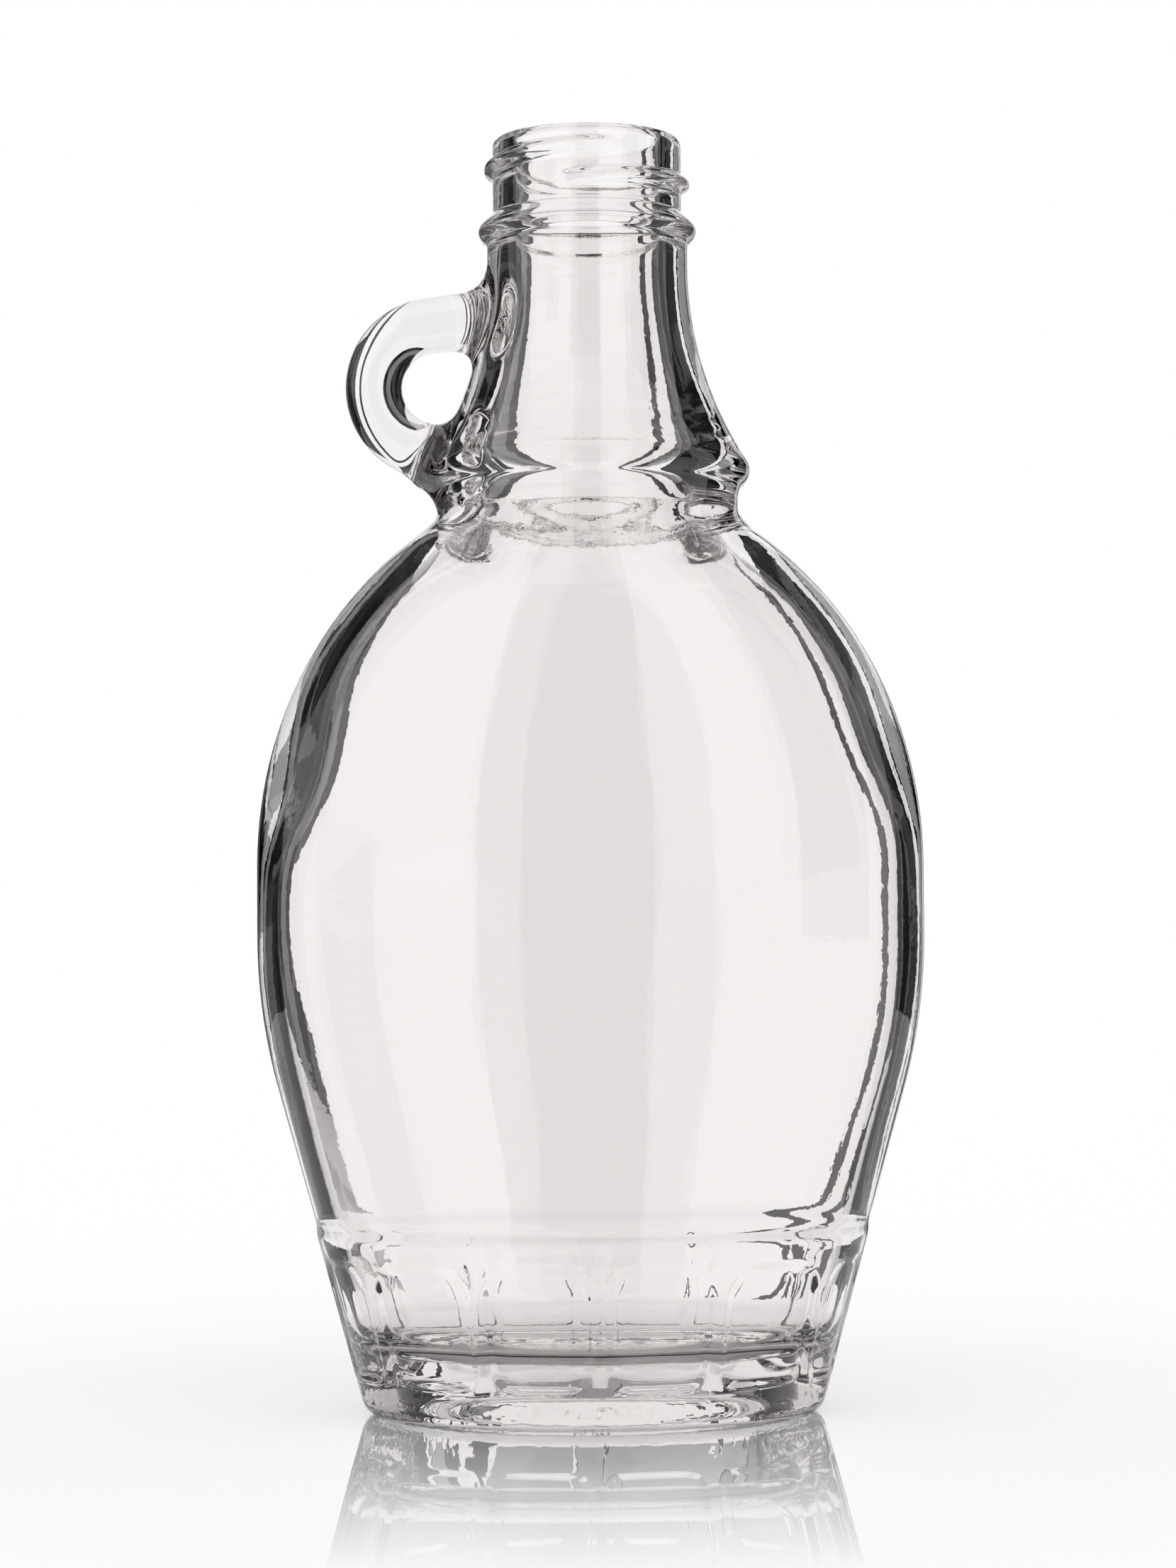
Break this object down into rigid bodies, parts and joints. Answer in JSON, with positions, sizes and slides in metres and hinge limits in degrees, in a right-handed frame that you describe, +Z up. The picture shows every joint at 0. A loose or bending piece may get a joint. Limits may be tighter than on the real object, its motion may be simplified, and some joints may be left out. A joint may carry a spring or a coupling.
{
  "type": "glass syrup bottle",
  "caption": "Clear glass flask bottle with an oval body, fluted foot, small loop handle on the neck and an open screw-thread mouth.",
  "frame": {"origin": "on the floor, in the middle of the oval foot, under the axis of the mouth", "axes": "+Z up along the axis of the mouth, +X along the broad width away from the handle, -Y out of the broad front, and the handle on -X"},
  "size_m": [0.0886, 0.0468, 0.169],
  "materials": {
    "clear_glass": "clear colourless blown glass, glossy, with faint waves"
  },
  "bodies": {
    "root": {"mouth_rim": "clear_glass", "finish_wall": "clear_glass", "screw_thread": "clear_glass", "transfer_bead": "clear_glass", "neck": "clear_glass", "neck_ring": "clear_glass", "handle_loop": "clear_glass", "shoulder": "clear_glass", "body_front": "clear_glass", "body_back": "clear_glass", "base_band": "clear_glass", "flute_ribs": "clear_glass", "fluted_wall": "clear_glass", "heel_ring": "clear_glass", "base_plate": "clear_glass"}
  },
  "joints": []
}
